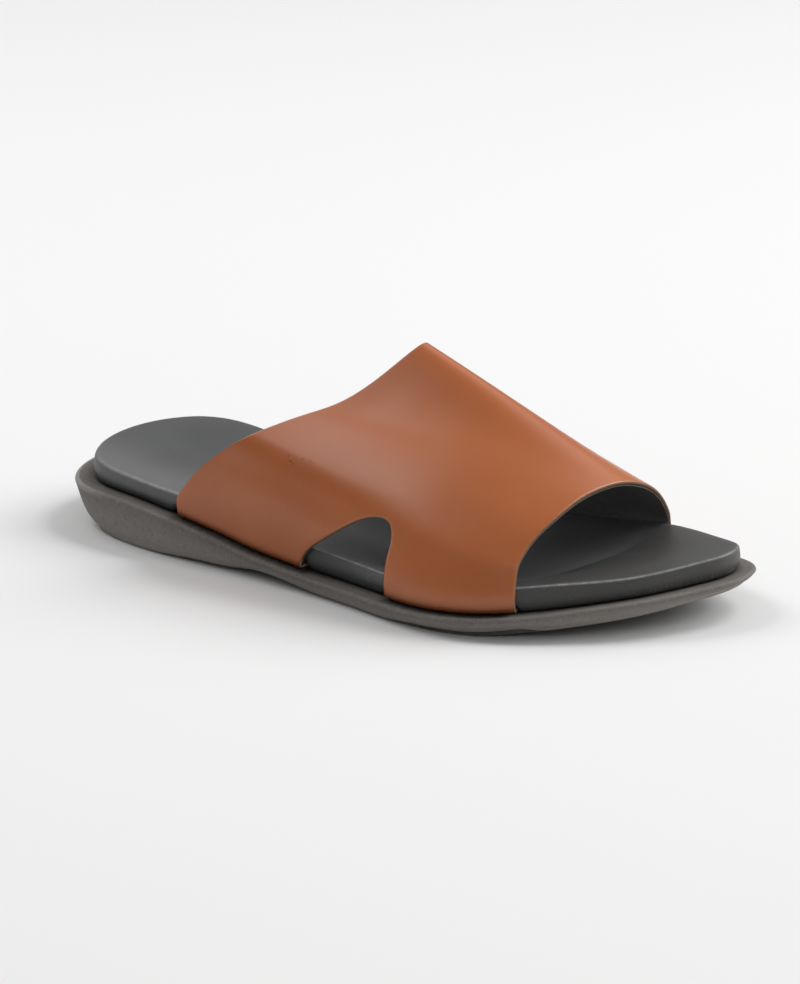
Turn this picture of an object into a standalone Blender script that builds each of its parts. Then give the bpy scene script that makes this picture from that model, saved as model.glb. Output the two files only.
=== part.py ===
"""A slide sandal for the right foot, empty and standing on its sole.

Sizes are in millimetres. x runs from the back of the heel towards the toe, y towards the wearer's left,
which is the inner side of this foot, and z up from the floor. The finished model is in metres, with its
origin on the floor under the middle of the sole.
"""

import bmesh
import bpy
import numpy as np

MM = 0.001
GAP = 0.3

# The sole seen from above: the rim's tips, then x, outer side y and inner side y of each station.
HEEL_TIP = (-2.0, 0.0)
TOE_TIP = (290.0, 12.0)
RIM_STATIONS = (
    (2.6, -22.2, 22.2),
    (15.6, -38.2, 38.0),
    (34.0, -44.8, 43.6),
    (62.0, -49.2, 40.4),
    (95.0, -50.6, 36.2),
    (130.0, -53.4, 37.0),
    (165.0, -58.8, 43.2),
    (200.0, -64.2, 49.5),
    (230.0, -56.7, 53.6),
    (254.0, -39.4, 50.8),
    (274.0, -19.5, 43.0),
    (285.5, 0.6, 33.8),
)

# The sole seen from the side. The deck carries the footbed, and the taper is how far the side wall leans
# in from rim to floor.
SOLE_COLUMNS = ("x", "underside_z", "deck_z", "footbed_edge_z", "taper")
SOLE_PROFILE = (
    (0.0, 0.0, 18.9, 29.8, 10.9),
    (42.0, 0.0, 18.7, 28.2, 3.6),
    (66.0, 0.0, 16.9, 26.8, 3.0),
    (88.0, 0.0, 13.6, 24.6, 2.8),
    (112.0, 2.4, 9.5, 21.2, 3.6),
    (148.0, 0.0, 7.2, 17.9, 2.8),
    (185.0, 0.0, 7.0, 17.0, 2.4),
    (214.0, 0.0, 7.9, 18.2, 3.0),
    (240.0, 2.8, 10.2, 20.6, 4.0),
    (262.0, 6.2, 13.2, 21.9, 4.0),
    (290.0, 12.4, 17.2, 26.6, 4.0),
)
SIDE_SEGMENTS = 42
OUTLINE_STEPS = 24
RIM_ROUND = 1.1
WALL_SHARES = (0.0, 0.35, 0.68, 0.9)
WALL_SLANT = 0.55
WALL_TUCK = 5
FLOOR_ROUND = 1.8
DECK_BORDER = 8.0
FACE_LEVELS = (0.5,)

# Tread: grooves across the underside, from x, to x and pitch of each field.
TREAD_FIELDS = ((20.0, 80.0, 12.0), (157.0, 246.0, 12.7))
GROOVE_WIDTH = 2.6
GROOVE_DEPTH = 1.4
GROOVE_MARGIN = 7.0

# Footbed
FOOTBED_INSET = 6.3
HEEL_LEDGE = 1.9
HEEL_LEDGE_LENGTH = 34.0
FOOTBED_EDGE_ROUND = 2.2
FOOTBED_FOOT_ROUND = 0.9
FOOTBED_BORDER = 3.0
FOOTBED_LEVELS = (0.16, 0.34, 0.55, 0.78)
# How much higher the bed's edge is 40 mm to the inner side of the middle, over x.
BED_TILT = ((0.0, 0.9), (45.0, 1.2), (110.0, 1.0), (190.0, 0.6), (245.0, 0.2), (290.0, 0.0))
BED_TILT_WIDTH = 40.0
# How far the bed's outer side stands back where the band leans in, and over which x.
BED_TUCK = 0.7
BED_TUCK_SPAN = (126.0, 146.0, 226.0, 236.0)
BASIN_BORDER = 30.0
BASIN_DEPTH = ((0.0, 4.2), (45.0, 4.4), (110.0, 3.0), (160.0, 3.4), (215.0, 4.2), (290.0, 4.2))
LIP_CREASE_X = 236.0
LIP_CREASE_Y = 10.0
LIP_CREASE_SPAN = 120.0
LIP_LENGTH = 34.0

# Leather band: wall, the margin turned in under the footbed, and the bend between them.
LEATHER = 2.2
MARGIN_WIDTH = 7.5
MARGIN_BEND = 3.0
REBATE_HEIGHT = LEATHER + GAP
REBATE_WIDTH = MARGIN_WIDTH + 1.0
REBATE_END_WIDTH = 3.0
REBATE_SPAN = (58.0, 68.0, 245.0, 255.0)
SHADOW_GAP = 0.6

# Where the band's two ends leave the sole: rear x and front x, on the outer and inner side.
BAND_FOOT = {"outer": (71.0, 233.7), "inner": (78.0, 237.4)}
# The runs of the band over the foot, from the outer wall over the crest to the inner wall: the sole's side,
# x, y, z at the rear edge and at the front edge, the share of the sole's sideways bulge, then how far the
# middle of the run lies to the inner side and up.
BAND_RUNS = (
    ("outer", (74.6, -46.9, 29.2), (233.6, -49.3, 24.0), 0.85, 1.0, -0.8),
    ("outer", (83.0, -48.0, 38.3), (233.6, -48.7, 26.2), 0.83, 1.4, -1.4),
    ("outer", (93.2, -48.3, 46.7), (233.6, -47.9, 28.4), 0.8, 1.6, -2.0),
    ("outer", (104.4, -47.8, 54.7), (233.9, -45.5, 32.4), 0.74, 1.6, -2.5),
    ("outer", (111.3, -43.6, 58.7), (235.0, -41.4, 37.0), 0.6, 1.0, -2.0),
    ("outer", (122.1, -32.0, 63.6), (237.8, -31.0, 42.7), 0.4, 0.3, -0.2),
    ("outer", (131.0, -20.3, 67.4), (240.1, -18.5, 47.6), 0.18, 0.0, 0.8),
    ("outer", (141.9, -5.5, 77.7), (242.0, -4.5, 49.5), 0.05, 0.0, 0.4),
    ("outer", (149.4, 8.5, 87.0), (242.5, 8.5, 48.3), 0.0, 0.0, 0.8),
    ("inner", (140.5, 22.5, 78.6), (242.6, 22.0, 44.2), 0.0, 0.0, 0.5),
    ("inner", (122.5, 33.4, 67.5), (241.0, 35.4, 36.1), 0.3, 0.0, 0.0),
    ("inner", (97.0, 37.4, 47.6), (238.6, 46.9, 26.0), 0.7, 0.0, 0.0),
    ("inner", (84.5, 33.7, 26.8), (237.5, 49.9, 21.8), 1.0, 0.0, 0.0),
)
# Swells and troughs of the runs from the outer wall to the crest: how far each run stands out, forwards and
# up, at each share of the way from the rear edge to the front edge.
RELIEF_WAY = (0.568, -0.765, 0.302)
RELIEF_SHARES = (0.0, 0.1, 0.2, 0.32, 0.44, 0.58, 0.72, 0.86, 1.0)
RELIEF = (
    (0.0, 0.3, 0.6, 0.9, 0.9, 0.5, 0.2, -0.3, -0.5),
    (-0.7, 0.0, 1.2, 1.5, 1.0, 0.2, -0.3, -0.7, -0.4),
    (-2.5, -1.3, -0.3, -0.2, -0.5, -0.2, -1.2, -1.2, -0.6),
    (-4.3, -3.2, -1.5, 0.4, 0.3, -1.2, -2.1, -1.7, -1.4),
    (-5.2, -3.9, -2.4, -0.7, -0.3, -1.3, -2.3, -2.4, -2.1),
    (-2.8, -2.3, -1.7, -1.0, -0.9, -0.8, -1.0, -2.1, -3.1),
    (-1.3, -1.6, -1.3, -0.8, -0.2, 0.5, 0.2, -2.0, -4.6),
    (-2.5, -1.6, -0.6, 0.2, 0.9, 1.4, 0.9, -0.8, -3.7),
    (-3.3, -2.3, -1.7, -1.6, -1.6, -0.9, -0.1, 0.0, -1.3),
)
BAND_STEPS_ALONG = 24
BAND_STEP = 5.0
BEND_STEPS = 3

# Notch in each side of the band, seen from the side: x and z round the opening.
NOTCHES = {
    "outer": ((132.0, 4.0), (133.4, 11.0), (136.9, 16.6), (144.4, 22.6), (150.1, 26.5), (158.4, 31.9),
              (165.5, 35.5), (173.0, 37.2), (178.0, 35.9), (180.2, 31.0), (179.4, 24.0), (178.9, 16.0),
              (179.3, 4.0)),
    "inner": ((136.0, 6.0), (139.5, 15.0), (145.5, 25.0), (153.0, 33.6), (162.0, 38.6),
              (168.2, 35.8), (171.0, 27.5), (175.0, 15.0), (179.5, 5.0)),
}
NOTCH_REACH = {"outer": (-90.0, -25.0), "inner": (18.0, 90.0)}
NOTCH_STEPS = 4
NOTCH_DROP = 12.0

SHARP_ANGLE = np.radians(40.0)
RUBBER = ("taupe_rubber", (0.12, 0.107, 0.095, 1.0), 0.75)
BED_WRAP = ("charcoal_footbed", (0.042, 0.043, 0.046, 1.0), 0.55)
TAN_LEATHER = ("tan_leather", (0.36, 0.122, 0.048, 1.0), 0.34)


def clear_scene():
    for obj in list(bpy.data.objects):
        bpy.data.objects.remove(obj, do_unlink=True)


def smoothstep(low, high, value):
    t = np.clip((np.asarray(value, float) - low) / (high - low), 0.0, 1.0)
    return t * t * (3.0 - 2.0 * t)


def steady_curve(table_x, table_z, x):
    """A smooth curve through the table that never overshoots a row, so level stretches stay level."""
    table_x = np.asarray(table_x, float)
    table_z = np.asarray(table_z, float)
    x = np.clip(np.asarray(x, float), table_x[0], table_x[-1])
    step = np.diff(table_x)
    rise = np.diff(table_z) / step
    same_way = rise[:-1] * rise[1:] > 0
    total = np.where(same_way, rise[:-1] + rise[1:], 1.0)
    slope = np.zeros_like(table_z)
    slope[1:-1] = np.where(same_way, 2.0 * rise[:-1] * rise[1:] / total, 0.0)
    slope[0] = rise[0]
    slope[-1] = rise[-1]
    i = np.clip(np.searchsorted(table_x, x, side="right") - 1, 0, len(step) - 1)
    h = step[i]
    t = (x - table_x[i]) / h
    return (
        (1 + 2 * t) * (1 - t) ** 2 * table_z[i]
        + t * (1 - t) ** 2 * h * slope[i]
        + t * t * (3 - 2 * t) * table_z[i + 1]
        + t * t * (t - 1) * h * slope[i + 1]
    )


def rounded_path(points, steps):
    """A curve through all the points, with the given number of steps between each pair."""
    points = np.asarray(points, float)
    before = 2.0 * points[0] - points[1]
    after = 2.0 * points[-1] - points[-2]
    padded = np.vstack([before, points, after])
    gaps = np.sqrt(np.linalg.norm(np.diff(padded, axis=0), axis=1))
    knots = np.concatenate([[0.0], np.cumsum(gaps)])
    path = []
    for i in range(1, len(padded) - 2):
        p0, p1, p2, p3 = padded[i - 1 : i + 3]
        k0, k1, k2, k3 = knots[i - 1 : i + 3]
        for k in np.linspace(k1, k2, steps, endpoint=False):
            a1 = ((k1 - k) * p0 + (k - k0) * p1) / (k1 - k0)
            a2 = ((k2 - k) * p1 + (k - k1) * p2) / (k2 - k1)
            a3 = ((k3 - k) * p2 + (k - k2) * p3) / (k3 - k2)
            b1 = ((k2 - k) * a1 + (k - k0) * a2) / (k2 - k0)
            b2 = ((k3 - k) * a2 + (k - k1) * a3) / (k3 - k1)
            path.append(((k2 - k) * b1 + (k - k1) * b2) / (k2 - k1))
    path.append(points[-1])
    return np.array(path)


def evenly_spaced(path, count):
    lengths = np.concatenate([[0.0], np.cumsum(np.linalg.norm(np.diff(path, axis=0), axis=1))])
    at = np.linspace(0.0, lengths[-1], count + 1)
    return np.column_stack([np.interp(at, lengths, path[:, k]) for k in range(path.shape[1])])


def rim_outline():
    """The rim's points once round, from the heel's tip along the outer side to the toe and back."""
    outer = [(x, y) for x, y, _ in RIM_STATIONS]
    inner = [(x, y) for x, _, y in RIM_STATIONS]
    loop = [inner[0], HEEL_TIP, *outer, TOE_TIP, *inner[::-1], HEEL_TIP, outer[0]]
    path = rounded_path(loop, OUTLINE_STEPS)[OUTLINE_STEPS:-OUTLINE_STEPS]
    half = (len(outer) + 1) * OUTLINE_STEPS
    there = evenly_spaced(path[: half + 1], SIDE_SEGMENTS)
    back = evenly_spaced(path[half:], SIDE_SEGMENTS)
    return np.vstack([there[:-1], back[:-1]])


def outward_normals(loop):
    along = np.roll(loop, -1, axis=0) - np.roll(loop, 1, axis=0)
    across = np.column_stack([along[:, 1], -along[:, 0]])
    across /= np.linalg.norm(across, axis=1)[:, None]
    outward = np.sum(across * (loop - loop.mean(axis=0)))
    return across * np.sign(outward)


OUTLINE = rim_outline()
NORMAL = outward_normals(OUTLINE)
COUNT = len(OUTLINE)
MIDDLE = 0.5 * (OUTLINE.min(axis=0) + OUTLINE.max(axis=0))


def profile(column, x):
    columns = dict(zip(SOLE_COLUMNS, np.transpose(SOLE_PROFILE)))
    return steady_curve(columns["x"], columns[column], x)


def underside_z(x):
    return profile("underside_z", x)


def deck_z(x):
    return profile("deck_z", x)


def footbed_edge_z(x, y):
    tilt = steady_curve(*np.transpose(BED_TILT), x)
    return profile("footbed_edge_z", x) + tilt * y / BED_TILT_WIDTH


def wall_taper(x):
    return profile("taper", x)


def mid_corner(radius):
    """How far the middle of a rounded corner lies inside each of the two faces that it joins."""
    return radius * (1.0 - np.sqrt(0.5))


def ring(inset, height_at):
    """The outline moved in by inset, with the height that height_at gives there."""
    flat = OUTLINE - NORMAL * np.reshape(inset, (-1, 1))
    return np.column_stack([flat, height_at(flat[:, 0], flat[:, 1])])


def to_model(points):
    return (np.asarray(points) - (*MIDDLE, 0.0)) * MM


def material(name, colour, roughness):
    made = bpy.data.materials.new(name)
    made.use_nodes = True
    shader = made.node_tree.nodes["Principled BSDF"]
    shader.inputs["Base Color"].default_value = colour
    shader.inputs["Roughness"].default_value = roughness
    shader.inputs["Metallic"].default_value = 0.0
    made.diffuse_color = colour
    return made


def finish(obj, coat):
    obj.data.materials.append(material(*coat))
    obj.data.shade_smooth()
    obj.data.set_sharp_from_angle(angle=SHARP_ANGLE)


def add_object(name, points, faces, collection):
    mesh = bpy.data.meshes.new(name)
    mesh.from_pydata([tuple(p) for p in to_model(points)], [], faces)
    bm = bmesh.new()
    bm.from_mesh(mesh)
    bmesh.ops.recalc_face_normals(bm, faces=bm.faces)
    bm.to_mesh(mesh)
    bm.free()
    obj = bpy.data.objects.new(name, mesh)
    collection.objects.link(obj)
    return obj


def spine_of(loop):
    """The points half-way between the two sides; each tip takes its neighbour's."""
    partner = (COUNT - np.arange(COUNT)) % COUNT
    spine = 0.5 * (loop + loop[partner])
    spine[0] = spine[1]
    spine[SIDE_SEGMENTS] = spine[SIDE_SEGMENTS - 1]
    return spine


def stacked_solid(name, loops, top_levels, top_z, under_levels, under_z, collection):
    """A closed solid through loops listed from the top's inner loop, over the edge, to the underside's.

    Both faces are closed towards the spine, in levels, with heights from top_z and under_z.
    """
    points = []
    faces = []
    rows = []

    def add_row(row):
        rows.append(len(points))
        points.extend(row)

    def face_levels(loop, levels, height_at):
        spine = spine_of(loop)
        made = []
        for part in levels:
            flat = loop + part * (spine - loop)
            made.append(np.column_stack([flat[:, :2], height_at(flat[:, 0], flat[:, 1])]))
        return made, np.column_stack([spine[:, :2], height_at(spine[:, 0], spine[:, 1])])

    over, top_spine = face_levels(loops[0], top_levels, top_z)
    below, under_spine = face_levels(loops[-1], under_levels, under_z)
    for row in [*over[::-1], *loops, *below]:
        add_row(row)
    for upper, lower in zip(rows[:-1], rows[1:]):
        for i in range(COUNT):
            j = (i + 1) % COUNT
            faces.append((upper + i, upper + j, lower + j, lower + i))
    for row, spine in ((rows[0], top_spine), (rows[-1], under_spine)):
        start = len(points)
        points.extend(spine[1:SIDE_SEGMENTS])
        last = SIDE_SEGMENTS - 2
        for i in range(last):
            outer = row + 1 + i
            inner = row + COUNT - 1 - i
            faces.append((outer, outer + 1, start + i + 1, start + i))
            faces.append((inner, inner - 1, start + i + 1, start + i))
        toe = row + SIDE_SEGMENTS
        faces.append((row, row + 1, start))
        faces.append((row + COUNT - 1, row, start))
        faces.append((toe - 1, toe, start + last))
        faces.append((toe, toe + 1, start + last))
    return add_object(name, points, faces, collection)


def make_outsole(collection, cutters):
    def deck(x, y):
        return deck_z(x)

    def underside(x, y):
        return underside_z(x)

    taper = wall_taper(OUTLINE[:, 0])
    corner = mid_corner(RIM_ROUND)

    def wall(share):
        """A loop of the side wall, at a share of the way from rim to floor."""
        return ring(
            taper * (WALL_SLANT * share + (1.0 - WALL_SLANT) * share**WALL_TUCK),
            lambda x, y: deck_z(x) - RIM_ROUND + share * (underside_z(x) - deck_z(x) + RIM_ROUND),
        )

    loops = [
        ring(DECK_BORDER, deck),
        ring(RIM_ROUND, deck),
        ring(corner, lambda x, y: deck_z(x) - corner),
        *[wall(share) for share in WALL_SHARES],
        ring(taper + FLOOR_ROUND, underside),
    ]
    outsole = stacked_solid("outsole", loops, FACE_LEVELS, deck, FACE_LEVELS, underside, collection)
    cut(outsole, tread_cutter(cutters))
    finish(outsole, RUBBER)


def side_y(x, inset, side):
    """y of the outline moved in by inset, at station x on the outer or the inner side."""
    flat = OUTLINE - NORMAL * inset
    half = flat[: SIDE_SEGMENTS + 1]
    if side == "inner":
        half = np.vstack([flat[SIDE_SEGMENTS:], flat[:1]])[::-1]
    return np.interp(x, half[:, 0], half[:, 1])


def tread_cutter(cutters):
    """A bar for each groove of the tread, which stops short of both sides and follows the toe spring."""
    bm = bmesh.new()
    for low, high, pitch in TREAD_FIELDS:
        for x in np.arange(low, high, pitch):
            margin = wall_taper(x) + GROOVE_MARGIN
            corners = []
            for end in (x - 0.5 * GROOVE_WIDTH, x + 0.5 * GROOVE_WIDTH):
                for side in ("outer", "inner"):
                    for rise in (-GROOVE_DEPTH, GROOVE_DEPTH):
                        corners.append((end, side_y(x, margin, side), underside_z(end) + rise))
            bar = [bm.verts.new(p) for p in to_model(corners)]
            bmesh.ops.convex_hull(bm, input=bar)
    bmesh.ops.recalc_face_normals(bm, faces=bm.faces)
    mesh = bpy.data.meshes.new("tread_grooves")
    bm.to_mesh(mesh)
    bm.free()
    cutter = bpy.data.objects.new("tread_grooves", mesh)
    hide_cutter(cutter, cutters)
    return cutter


def hide_cutter(cutter, cutters):
    for home in list(cutter.users_collection):
        home.objects.unlink(cutter)
    cutters.objects.link(cutter)
    cutter.hide_render = True
    cutter.display_type = "WIRE"


def cut(obj, cutter):
    modifier = obj.modifiers.new(cutter.name, "BOOLEAN")
    modifier.operation = "DIFFERENCE"
    modifier.solver = "EXACT"
    modifier.object = cutter


def edge_distance(x, y):
    """How far each point lies from the rim's outline."""
    spots = np.column_stack([x, y])[:, None, :]
    start = OUTLINE[None, :, :]
    along = np.roll(OUTLINE, -1, axis=0)[None, :, :] - start
    share = np.clip(np.sum((spots - start) * along, axis=2) / np.sum(along * along, axis=2), 0.0, 1.0)
    return np.linalg.norm(spots - start - share[:, :, None] * along, axis=2).min(axis=1)


def footbed_top_z(x, y):
    """The bed's upper face: level at its edge, dished inside, with a lip rising in front of the toes."""
    table = np.array(BASIN_DEPTH)
    crease = LIP_CREASE_X - (y - LIP_CREASE_Y) ** 2 / LIP_CREASE_SPAN
    lip = 1.0 - smoothstep(crease, crease + LIP_LENGTH, x)
    depth = steady_curve(table[:, 0], table[:, 1], x) * lip
    border = FOOTBED_INSET + FOOTBED_EDGE_ROUND
    return footbed_edge_z(x, y) - depth * smoothstep(border, border + BASIN_BORDER, edge_distance(x, y))


def make_footbed(collection):
    def reach(x, span):
        """1 along the stretch between the span's middle values, 0 outside the span."""
        start, whole, taper_off, end = span
        return smoothstep(start, whole, x) * (1.0 - smoothstep(taper_off, end, x))

    def under(x, y):
        return deck_z(x) + GAP

    def rebate(x, y):
        return under(x, y) + SHADOW_GAP + (REBATE_HEIGHT - SHADOW_GAP) * reach(x, REBATE_SPAN)

    corner = mid_corner(FOOTBED_EDGE_ROUND)
    rim_x, rim_y = OUTLINE.T
    inset = FOOTBED_INSET + HEEL_LEDGE * (1.0 - smoothstep(0.0, HEEL_LEDGE_LENGTH, rim_x))
    inset += np.where(rim_y < 0.0, BED_TUCK * reach(rim_x, BED_TUCK_SPAN), 0.0)
    rebate_width = REBATE_END_WIDTH + (REBATE_WIDTH - REBATE_END_WIDTH) * reach(rim_x, REBATE_SPAN)
    loops = [
        ring(inset + FOOTBED_EDGE_ROUND + FOOTBED_BORDER, footbed_top_z),
        ring(inset + FOOTBED_EDGE_ROUND, footbed_top_z),
        ring(inset + corner, lambda x, y: footbed_edge_z(x, y) - corner),
        ring(inset, lambda x, y: footbed_edge_z(x, y) - FOOTBED_EDGE_ROUND),
        ring(inset, lambda x, y: rebate(x, y) + FOOTBED_FOOT_ROUND),
        ring(inset + FOOTBED_FOOT_ROUND, rebate),
        ring(inset + rebate_width, rebate),
        ring(inset + rebate_width, under),
    ]
    footbed = stacked_solid(
        "footbed", loops, FOOTBED_LEVELS, footbed_top_z, FACE_LEVELS, under, collection
    )
    finish(footbed, BED_WRAP)


def smooth_spline(knots, rows, at):
    """The curve of steady bend through the rows, each of one or more points, read at each place in at."""
    count = len(knots)
    step = np.diff(knots)
    system = np.eye(count)
    bend = np.zeros_like(rows)
    for i in range(1, count - 1):
        system[i, i - 1 : i + 2] = step[i - 1], 2.0 * (step[i - 1] + step[i]), step[i]
        bend[i] = 6.0 * ((rows[i + 1] - rows[i]) / step[i] - (rows[i] - rows[i - 1]) / step[i - 1])
    second = np.linalg.solve(system, bend.reshape(count, -1)).reshape(rows.shape)
    i = np.clip(np.searchsorted(knots, at, side="right") - 1, 0, count - 2)
    shape = (-1,) + (1,) * (rows.ndim - 1)
    h = step[i].reshape(shape)
    b = (np.asarray(at) - knots[i]).reshape(shape) / h
    a = 1.0 - b
    curve = (a**3 - a) * second[i] + (b**3 - b) * second[i + 1]
    return a * rows[i] + b * rows[i + 1] + curve * h * h / 6.0


def band_foot(side, along):
    """The band's rows from its margin under the footbed, round the bend, to the foot of its wall."""
    rear, front = BAND_FOOT[side]
    x = rear + (front - rear) * along
    low = deck_z(x) + GAP
    wall_inset = FOOTBED_INSET - GAP - LEATHER
    bend_inset = wall_inset + MARGIN_BEND
    section = [(bend_inset + MARGIN_WIDTH - MARGIN_BEND, low)]
    for turn in np.linspace(0.0, 0.5 * np.pi, BEND_STEPS + 1):
        rise = MARGIN_BEND * (1.0 - np.cos(turn))
        section.append((bend_inset - MARGIN_BEND * np.sin(turn), low + rise))
    return [np.column_stack([x, side_y(x, inset, side), z]) for inset, z in section]


def band_run(side, rear, front, follow, bow, crown, along):
    t = along[:, None]
    line = np.array(rear) * (1.0 - t) + np.array(front) * t
    edge = side_y(line[:, 0], FOOTBED_INSET - GAP - LEATHER, side)
    line[:, 1] += follow * (edge - edge[0] * (1.0 - along) - edge[-1] * along)
    line[:, 1:] += 4.0 * t * (1.0 - t) * (bow, crown)
    return line


def band_controls(along):
    """The points that shape the band's outer face, from the outer margin over the crest to the inner one.

    Each row holds one point for every value of along, which runs from the rear edge to the front edge.
    """
    runs = np.array([band_run(*row, along) for row in BAND_RUNS])
    relief = smooth_spline(np.array(RELIEF_SHARES), np.transpose(RELIEF), along).T
    runs[: len(RELIEF)] += relief[:, :, None] * np.array(RELIEF_WAY)
    return np.array([*band_foot("outer", along), *runs, *band_foot("inner", along)[::-1]])


def make_upper(collection, cutters):
    controls = band_controls(np.linspace(0.0, 1.0, BAND_STEPS_ALONG + 1))
    chords = np.linalg.norm(np.diff(controls, axis=0), axis=2).mean(axis=1)
    knots = np.concatenate([[0.0], np.cumsum(chords)])
    across = []
    for low, high in zip(knots[:-1], knots[1:]):
        across.extend(np.linspace(low, high, max(1, round((high - low) / BAND_STEP)), endpoint=False))
    across.append(knots[-1])
    sections = np.swapaxes(smooth_spline(knots, controls, np.array(across)), 0, 1)
    width = len(across)
    points = sections.reshape(-1, 3)
    faces = []
    for row in range(BAND_STEPS_ALONG):
        for i in range(width - 1):
            a = row * width + i
            faces.append((a, a + width, a + width + 1, a + 1))
    upper = add_object("upper", points, faces, collection)
    crest = max(upper.data.polygons, key=lambda face: face.center.z)
    if crest.normal.z < 0.0:
        upper.data.flip_normals()
    wall = upper.modifiers.new("leather", "SOLIDIFY")
    wall.thickness = LEATHER * MM
    wall.offset = -1.0
    wall.use_even_offset = True
    for side in NOTCHES:
        cut(upper, notch_cutter(side, cutters))
    finish(upper, TAN_LEATHER)


def notch_cutter(side, cutters):
    path = rounded_path(NOTCHES[side], NOTCH_STEPS)
    (first_x, first_z), (last_x, last_z) = path[0], path[-1]
    outline = [(first_x, first_z - NOTCH_DROP), *path, (last_x, last_z - NOTCH_DROP)]
    near, far = NOTCH_REACH[side]
    count = len(outline)
    points = [(x, y, z) for y in (near, far) for x, z in outline]
    faces = [tuple(range(count)), tuple(range(count, 2 * count))]
    for i in range(count):
        j = (i + 1) % count
        faces.append((i, j, count + j, count + i))
    cutter = add_object(f"notch_{side}", points, faces, cutters)
    hide_cutter(cutter, cutters)
    return cutter


def main():
    clear_scene()
    parts = bpy.data.collections.new("slide_sandal")
    cutters = bpy.data.collections.new("cutters")
    bpy.context.scene.collection.children.link(parts)
    bpy.context.scene.collection.children.link(cutters)
    make_outsole(parts, cutters)
    make_footbed(parts)
    make_upper(parts, cutters)


main()
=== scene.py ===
"""The looks of a slide sandal for the right foot: leather band, wrapped footbed and moulded rubber sole.

Sizes are in millimetres. x runs from the back of the heel towards the toe, y towards the inner side of the
foot and z up from the floor. to_model() turns them into the frame's metres.
"""

import math

import bmesh
import bpy
import numpy as np
from mathutils import Matrix, Vector


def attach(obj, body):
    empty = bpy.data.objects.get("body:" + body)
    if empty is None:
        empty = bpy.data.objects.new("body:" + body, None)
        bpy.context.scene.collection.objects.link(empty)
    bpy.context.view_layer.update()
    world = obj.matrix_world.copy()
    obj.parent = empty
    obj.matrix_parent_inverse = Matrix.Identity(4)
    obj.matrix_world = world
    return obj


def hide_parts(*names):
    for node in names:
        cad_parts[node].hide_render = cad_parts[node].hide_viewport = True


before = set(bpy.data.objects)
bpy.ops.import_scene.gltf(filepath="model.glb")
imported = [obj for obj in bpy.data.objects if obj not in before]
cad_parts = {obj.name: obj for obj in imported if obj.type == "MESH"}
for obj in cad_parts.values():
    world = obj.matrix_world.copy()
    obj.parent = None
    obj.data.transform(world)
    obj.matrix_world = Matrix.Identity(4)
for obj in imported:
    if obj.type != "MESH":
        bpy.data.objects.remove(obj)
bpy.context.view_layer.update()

MM = 0.001
GAP = 0.3
BODY = "root"

# The sole seen from above: the rim's tips, then x, outer side y and inner side y of each station.
HEEL_TIP = (-2.0, 0.0)
TOE_TIP = (290.0, 12.0)
RIM_STATIONS = (
    (2.6, -22.2, 22.2),
    (15.6, -38.2, 38.0),
    (34.0, -44.8, 43.6),
    (62.0, -49.2, 40.4),
    (95.0, -50.6, 36.2),
    (130.0, -53.4, 37.0),
    (165.0, -58.8, 43.2),
    (200.0, -64.2, 49.5),
    (230.0, -56.7, 53.6),
    (254.0, -39.4, 50.8),
    (274.0, -19.5, 43.0),
    (285.5, 0.6, 33.8),
)
# The sole seen from the side. The deck carries the footbed, and the taper is how far the side wall leans
# in from rim to floor.
SOLE_COLUMNS = ("x", "underside_z", "deck_z", "footbed_edge_z", "taper")
SOLE_PROFILE = (
    (0.0, 0.0, 18.9, 29.8, 10.9),
    (42.0, 0.0, 18.7, 28.2, 3.6),
    (66.0, 0.0, 16.9, 26.8, 3.0),
    (88.0, 0.0, 13.6, 24.6, 2.8),
    (112.0, 2.4, 9.5, 21.2, 3.6),
    (148.0, 0.0, 7.2, 17.9, 2.8),
    (185.0, 0.0, 7.0, 17.0, 2.4),
    (214.0, 0.0, 7.9, 18.2, 3.0),
    (240.0, 2.8, 10.2, 20.6, 4.0),
    (262.0, 6.2, 13.2, 21.9, 4.0),
    (290.0, 12.4, 17.2, 26.6, 4.0),
)
SIDE_SEGMENTS = 210
OUTLINE_STEPS = 40
COARSE_STEP = 4

# Outsole
RIM_ROUND = 1.3
RIM_ARC_STEPS = 5
WALL_STEPS = 14
WALL_SLANT = 0.55
WALL_TUCK = 5
FLOOR_ROUND = 1.2
DECK_INSETS = (12.0, 8.0, 6.8, 4.6, 3.4, 2.5, 1.9)
DECK_LEVELS = 3
# Painted shade on the deck at each deck inset, beside the band and elsewhere.
DECK_SHADE_BY_BAND = (1.0, 1.0, 1.0, 0.95, 0.75, 0.5, 0.2)
DECK_SHADE_ELSEWHERE = (1.0, 0.8, 0.5, 0.1, 0.0, 0.0, 0.0)
# Painted light: the rim is paler round the heel, over these x, and the wall grows paler towards the floor,
# up to this share.
HEEL_RIM_PAINTED_LIGHT = (8.0, 40.0)
WALL_PAINTED_LIGHT = 0.75
UNDERSIDE_LEVELS = 26
# The thin tread layer under the wall: x, its height, and how far its side stands back from the wall.
TREAD_COLUMNS = ("x", "height", "set_back")
TREAD_LAYER = (
    (-2.0, 0.05, 0.1),
    (50.0, 0.1, 0.2),
    (86.0, 1.7, 1.6),
    (112.0, 0.4, 1.6),
    (146.0, 0.3, 0.4),
    (176.0, 0.4, 0.4),
    (196.0, 1.8, 1.2),
    (236.0, 1.9, 1.2),
    (247.0, 0.1, 0.2),
    (290.0, 0.05, 0.1),
)
TREAD_DRAFT = 0.15
# Painted shade down the tread layer's side: over which heights and x it sets in, then its shares on the last
# loops.
TREAD_SHADE_HEIGHT = (0.2, 0.9)
TREAD_SHADE_SPAN = (165.0, 200.0)
TREAD_PAINTED_SHADE = (0.6, 0.5, 0.4, 0.4)
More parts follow.
